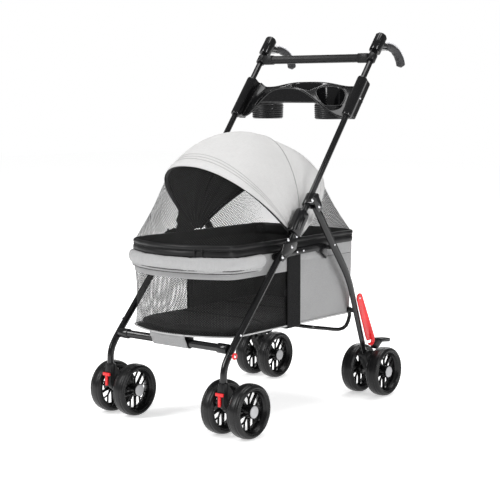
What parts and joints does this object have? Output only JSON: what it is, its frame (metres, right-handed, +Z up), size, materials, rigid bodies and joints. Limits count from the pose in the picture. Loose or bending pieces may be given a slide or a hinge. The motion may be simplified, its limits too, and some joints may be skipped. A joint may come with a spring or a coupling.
{
  "type": "pet stroller",
  "caption": "Folding four-wheel pet stroller with a fabric basket, arched canopy with mesh windows, twin wheels and a cup tray.",
  "frame": {"origin": "middle of the stroller's length and width, on the ground under it", "axes": "+Z up, +X to the stroller's left side, -Y the way it is pushed"},
  "size_m": [0.5016, 0.8038, 0.9973],
  "materials": {
    "black_tube": "semi-gloss black powder coat on steel tube",
    "black_plastic": "satin moulded",
    "gloss_plastic": "gloss moulded",
    "tyre_rubber": "matt foamed tyre",
    "rim_plastic": "satin moulded rim with a grey hub disc",
    "red_plastic": "semi-gloss moulded",
    "grip_foam": "matt soft-touch, dimpled",
    "steel": "bare spring wire",
    "grey_fabric": "plain-woven polyester",
    "pale_fabric": "plain-woven polyester",
    "black_fabric": "coated lining fabric",
    "black_mesh": "open knitted mesh"
  },
  "bodies": {
    "front_frame": {"front_leg_left": "black_tube", "front_leg_right": "black_tube", "knee_plate_left": "gloss_plastic", "knee_plate_right": "gloss_plastic", "front_crossbar": "black_tube", "fold_latch_stud": "red_plastic", "basket_fabric": "grey_fabric", "floor_pad": "black_fabric", "front_bumper": "grey_fabric", "canopy_middle_bow": "steel", "canopy_rear_bow": "steel", "canopy_front_panel": "pale_fabric", "canopy_rear_panel": "pale_fabric", "front_mesh_window": "black_mesh", "rear_mesh_window": "black_mesh"},
    "handle": {"push_tube_left": "black_tube", "push_tube_right": "black_tube", "leg_collar_left": "gloss_plastic", "leg_collar_right": "gloss_plastic", "handle_crossbar": "black_plastic", "end_cap_left": "gloss_plastic", "end_cap_right": "gloss_plastic", "grip_left": "grip_foam", "grip_right": "grip_foam", "parent_tray": "gloss_plastic"},
    "rear_frame": {"rear_leg_left": "black_tube", "rear_leg_right": "black_tube", "rear_housing_left": "black_plastic", "rear_housing_right": "black_plastic", "rear_lower_bar": "black_tube"},
    "side_rails": {"side_rail_left": "black_tube", "side_rail_right": "black_tube"},
    "fold_latch": {"fold_latch": "red_plastic"},
    "canopy_front": {"canopy_front_bow": "steel"},
    "lock_sleeve_left": {"lock_sleeve_left": "gloss_plastic"},
    "caster_left": {"caster_fork_left": "black_plastic"},
    "caster_lever_left": {"caster_lever_left": "red_plastic"},
    "brake_pedal_left": {"brake_pedal_left": "black_plastic"},
    "front_wheel_left_outer": {"front_wheel_left_outer_tyre": "tyre_rubber", "front_wheel_left_outer_rim": "rim_plastic"},
    "front_wheel_left_inner": {"front_wheel_left_inner_tyre": "tyre_rubber", "front_wheel_left_inner_rim": "rim_plastic"},
    "rear_wheel_left_outer": {"rear_wheel_left_outer_tyre": "tyre_rubber", "rear_wheel_left_outer_rim": "rim_plastic"},
    "rear_wheel_left_inner": {"rear_wheel_left_inner_tyre": "tyre_rubber", "rear_wheel_left_inner_rim": "rim_plastic"},
    "lock_sleeve_right": {"lock_sleeve_right": "gloss_plastic"},
    "caster_right": {"caster_fork_right": "black_plastic"},
    "caster_lever_right": {"caster_lever_right": "red_plastic"},
    "brake_pedal_right": {"brake_pedal_right": "black_plastic"},
    "front_wheel_right_outer": {"front_wheel_right_outer_tyre": "tyre_rubber", "front_wheel_right_outer_rim": "rim_plastic"},
    "front_wheel_right_inner": {"front_wheel_right_inner_tyre": "tyre_rubber", "front_wheel_right_inner_rim": "rim_plastic"},
    "rear_wheel_right_outer": {"rear_wheel_right_outer_tyre": "tyre_rubber", "rear_wheel_right_outer_rim": "rim_plastic"},
    "rear_wheel_right_inner": {"rear_wheel_right_inner_tyre": "tyre_rubber", "rear_wheel_right_inner_rim": "rim_plastic"}
  },
  "joints": [
    {"name": "handle_fold", "type": "hinge", "parent": "front_frame", "child": "handle", "pos_m": [0, -0.1199, 0.452], "axis": [-1, 0, 0], "range_deg": [0, 96]},
    {"name": "rear_legs_swing", "type": "hinge", "parent": "handle", "child": "rear_frame", "pos_m": [0, -0.0349, 0.5435], "axis": [1, 0, 0], "range_deg": [0, 41]},
    {"name": "side_rails_swing", "type": "hinge", "parent": "front_frame", "child": "side_rails", "pos_m": [0, -0.1619, 0.4225], "axis": [-1, 0, 0], "range_deg": [0, 67.5]},
    {"name": "canopy_front_fold", "type": "hinge", "parent": "front_frame", "child": "canopy_front", "pos_m": [0, -0.0629, 0.457], "axis": [-1, 0, 0], "range_deg": [0, 34], "deforming": ["canopy_front_panel", "front_mesh_window"]},
    {"name": "fold_latch_swing", "type": "hinge", "parent": "rear_frame", "child": "fold_latch", "pos_m": [0.2068, 0.1756, 0.281], "axis": [-1, 0, 0], "range_deg": [0, 60]},
    {"name": "lock_sleeve_left_slide", "type": "slide", "parent": "handle", "child": "lock_sleeve_left", "axis": [0, 0.6124, 0.7906], "range_m": [0, 0.016], "stiffness_N_per_m": 200, "springref_m": -0.02},
    {"name": "caster_left_swivel", "type": "hinge", "parent": "front_frame", "child": "caster_left", "pos_m": [0.19, -0.3804, 0.139], "axis": [0, 0, 1], "continuous": true},
    {"name": "caster_lever_left_tip", "type": "hinge", "parent": "caster_left", "child": "caster_lever_left", "pos_m": [0.19, -0.3958, 0.083], "axis": [1, 0, 0], "range_deg": [0, 20]},
    {"name": "brake_pedal_left_press", "type": "hinge", "parent": "rear_frame", "child": "brake_pedal_left", "pos_m": [0.19, 0.2776, 0.13], "axis": [-1, 0, 0], "range_deg": [0, 15]},
    {"name": "front_wheel_left_outer_spin", "type": "hinge", "parent": "caster_left", "child": "front_wheel_left_outer", "pos_m": [0.2308, -0.3344, 0.0675], "axis": [1, 0, 0], "continuous": true},
    {"name": "front_wheel_left_inner_spin", "type": "hinge", "parent": "caster_left", "child": "front_wheel_left_inner", "pos_m": [0.1492, -0.3344, 0.0675], "axis": [1, 0, 0], "continuous": true},
    {"name": "rear_wheel_left_outer_spin", "type": "hinge", "parent": "rear_frame", "child": "rear_wheel_left_outer", "pos_m": [0.2308, 0.2626, 0.0675], "axis": [1, 0, 0], "continuous": true},
    {"name": "rear_wheel_left_inner_spin", "type": "hinge", "parent": "rear_frame", "child": "rear_wheel_left_inner", "pos_m": [0.1492, 0.2626, 0.0675], "axis": [1, 0, 0], "continuous": true},
    {"name": "lock_sleeve_right_slide", "type": "slide", "parent": "handle", "child": "lock_sleeve_right", "axis": [0, 0.6124, 0.7906], "range_m": [0, 0.016], "stiffness_N_per_m": 200, "springref_m": -0.02},
    {"name": "caster_right_swivel", "type": "hinge", "parent": "front_frame", "child": "caster_right", "pos_m": [-0.19, -0.3804, 0.139], "axis": [0, 0, 1], "continuous": true},
    {"name": "caster_lever_right_tip", "type": "hinge", "parent": "caster_right", "child": "caster_lever_right", "pos_m": [-0.19, -0.3958, 0.083], "axis": [1, 0, 0], "range_deg": [0, 20]},
    {"name": "brake_pedal_right_press", "type": "hinge", "parent": "rear_frame", "child": "brake_pedal_right", "pos_m": [-0.19, 0.2776, 0.13], "axis": [-1, 0, 0], "range_deg": [0, 15]},
    {"name": "front_wheel_right_outer_spin", "type": "hinge", "parent": "caster_right", "child": "front_wheel_right_outer", "pos_m": [-0.2308, -0.3344, 0.0675], "axis": [1, 0, 0], "continuous": true},
    {"name": "front_wheel_right_inner_spin", "type": "hinge", "parent": "caster_right", "child": "front_wheel_right_inner", "pos_m": [-0.1492, -0.3344, 0.0675], "axis": [1, 0, 0], "continuous": true},
    {"name": "rear_wheel_right_outer_spin", "type": "hinge", "parent": "rear_frame", "child": "rear_wheel_right_outer", "pos_m": [-0.2308, 0.2626, 0.0675], "axis": [1, 0, 0], "continuous": true},
    {"name": "rear_wheel_right_inner_spin", "type": "hinge", "parent": "rear_frame", "child": "rear_wheel_right_inner", "pos_m": [-0.1492, 0.2626, 0.0675], "axis": [1, 0, 0], "continuous": true}
  ],
  "couplings": [
    {"joint": "rear_legs_swing", "follows": "handle_fold", "ratio": 0.42},
    {"joint": "side_rails_swing", "follows": "handle_fold", "ratio": 0.695}
  ]
}
